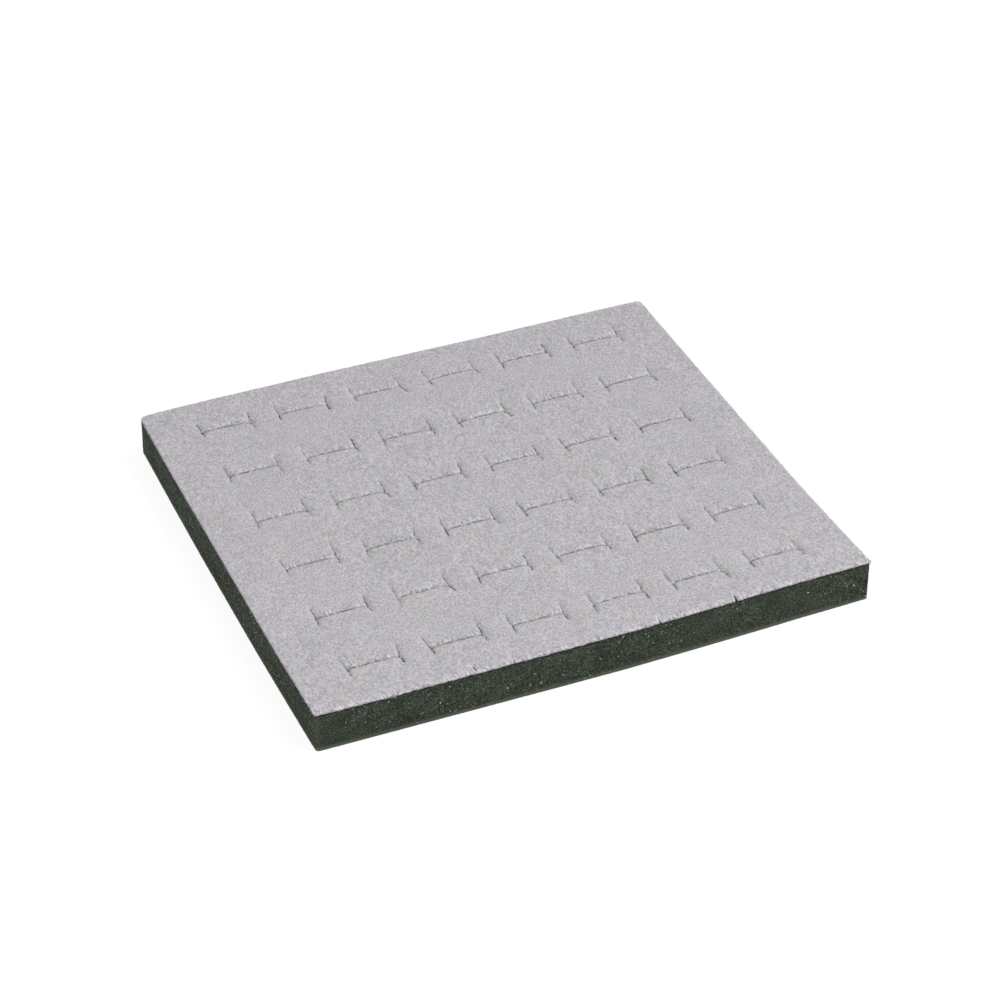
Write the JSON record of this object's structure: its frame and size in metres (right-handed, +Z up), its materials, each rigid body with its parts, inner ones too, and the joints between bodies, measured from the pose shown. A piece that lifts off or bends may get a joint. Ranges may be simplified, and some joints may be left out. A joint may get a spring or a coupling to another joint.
{
  "type": "ring foam insert",
  "caption": "Rectangular foam pad with a pale flocked top and rows of H-shaped slits that grip rings upright, sized to drop into a shallow display tray",
  "frame": {"origin": "middle of the pad's underside, on the plane that it rests on", "axes": "+X along the rows of slits, +Y from the front edge to the back edge, +Z up out of the flocked top"},
  "size_m": [0.194, 0.1752, 0.0152],
  "materials": {
    "foam": "dark green-charcoal open-cell foam with a fine cell grain on its cut sides",
    "flock": "short matte light grey flock with a soft mottled nap"
  },
  "bodies": {
    "root": {"foam_slab": "foam", "flock_facing": "flock"}
  },
  "joints": []
}
